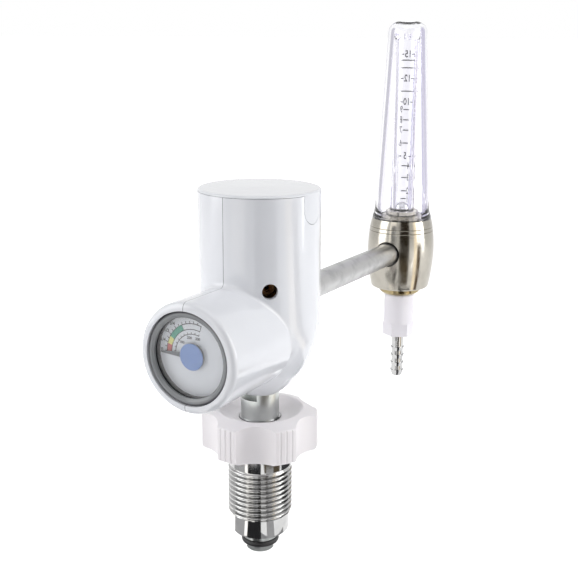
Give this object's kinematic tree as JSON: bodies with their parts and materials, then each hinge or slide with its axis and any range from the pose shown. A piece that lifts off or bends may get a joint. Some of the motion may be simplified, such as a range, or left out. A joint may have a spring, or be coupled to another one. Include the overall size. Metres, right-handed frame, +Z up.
{
  "type": "medical gas regulator",
  "caption": "Cylinder gas regulator with a bullnose inlet and handwheel, a dial gauge in a white housing, and a flowmeter with a hose outlet on a side tube.",
  "frame": {"origin": "on the inlet axis, at the lower end of the full inlet thread", "axes": "+Z up the inlet and housing axis, -Y the way the gauge faces, +Y along the outlet tube to the flowmeter"},
  "size_m": [0.0416, 0.18, 0.1874],
  "materials": {
    "white_plastic": "glossy moulded white",
    "wheel_plastic": "satin moulded white",
    "nickel": "polished nickel plate",
    "thread_plate": "bright nickel plate",
    "stem_steel": "satin turned",
    "tube_steel": "satin drawn tube",
    "brass": "turned brass",
    "warm_brass": "plated brass, warm",
    "case_grey": "dark grey paint",
    "clear_plastic": "clear moulded plastic",
    "window": "clear flat window",
    "tube_glass": "clear drawn tube",
    "dial_paper": "pale printed dial",
    "pointer_black": "black paint",
    "hub_blue": "blue disc",
    "black_rubber": "seal rubber",
    "nut_plastic": "white moulded nut",
    "knob_plastic": "white moulded knob",
    "spring_steel": "spring wire",
    "float_steel": "polished ball",
    "seat_plastic": "natural seat plastic",
    "sinter_bronze": "sintered filter"
  },
  "bodies": {
    "housing": {"inlet_stem": "stem_steel", "nose_seal": "black_rubber", "retaining_clip": "pointer_black", "inlet_filter": "sinter_bronze", "cover_right": "white_plastic", "cover_left": "white_plastic", "top_lid": "white_plastic", "cover_screws": "spring_steel", "valve_body": "brass", "bonnet": "brass", "preset_screw": "brass", "spring_plate": "brass", "main_spring": "spring_steel", "valve_seat": "brass", "poppet_spring": "spring_steel", "relief_valve": "warm_brass", "gauge_case": "case_grey", "gauge_bezel": "case_grey", "gauge_window": "window", "window_ring": "black_rubber", "gauge_dial": "dial_paper", "movement_plate": "brass", "gauge_socket": "brass", "bourdon_tube": "brass", "outlet_tube": "tube_steel", "flow_block": "nickel", "lock_ring": "warm_brass", "outlet_stub": "brass", "outlet_nut": "nut_plastic", "hose_barb": "nickel", "outlet_washer": "black_rubber", "clear_cover": "clear_plastic", "cover_seal": "black_rubber", "flow_seat": "nickel", "flow_tube": "tube_glass", "tube_cap": "clear_plastic", "needle_gland": "brass"},
    "inlet_union": {"threaded_bush": "thread_plate", "handwheel": "wheel_plastic"},
    "valve_train": {"piston": "brass", "piston_seal": "black_rubber", "push_pin": "stem_steel", "poppet": "brass", "poppet_seal": "seat_plastic"},
    "gauge_pointer": {"pointer": "pointer_black", "pointer_hub": "pointer_black", "hub_cap": "hub_blue", "gauge_arbor": "stem_steel"},
    "float": {"float_ball": "float_steel"},
    "flow_control": {"flow_knob": "knob_plastic", "needle": "stem_steel"}
  },
  "joints": [
    {"name": "union_spin", "type": "hinge", "parent": "housing", "child": "inlet_union", "pos_m": [0, 0, 0], "axis": [0, 0, 1], "continuous": true},
    {"name": "valve_travel", "type": "slide", "parent": "housing", "child": "valve_train", "axis": [0, 0, 1], "range_m": [0, 0.0008], "stiffness_N_per_m": 500, "springref_m": -0.001, "deforming": ["main_spring", "poppet_spring"]},
    {"name": "pointer_turn", "type": "hinge", "parent": "housing", "child": "gauge_pointer", "pos_m": [0, -0.038, 0.0682], "axis": [0, 1, 0], "range_deg": [0, 107], "stiffness_Nm_per_rad": 0.00002},
    {"name": "float_rise", "type": "slide", "parent": "housing", "child": "float", "axis": [0, 0, 1], "range_m": [0, 0.068]},
    {"name": "knob_turn", "type": "hinge", "parent": "housing", "child": "flow_control", "pos_m": [0, 0.1336, 0.0746], "axis": [0, 1, 0], "range_deg": [0, 540]}
  ]
}
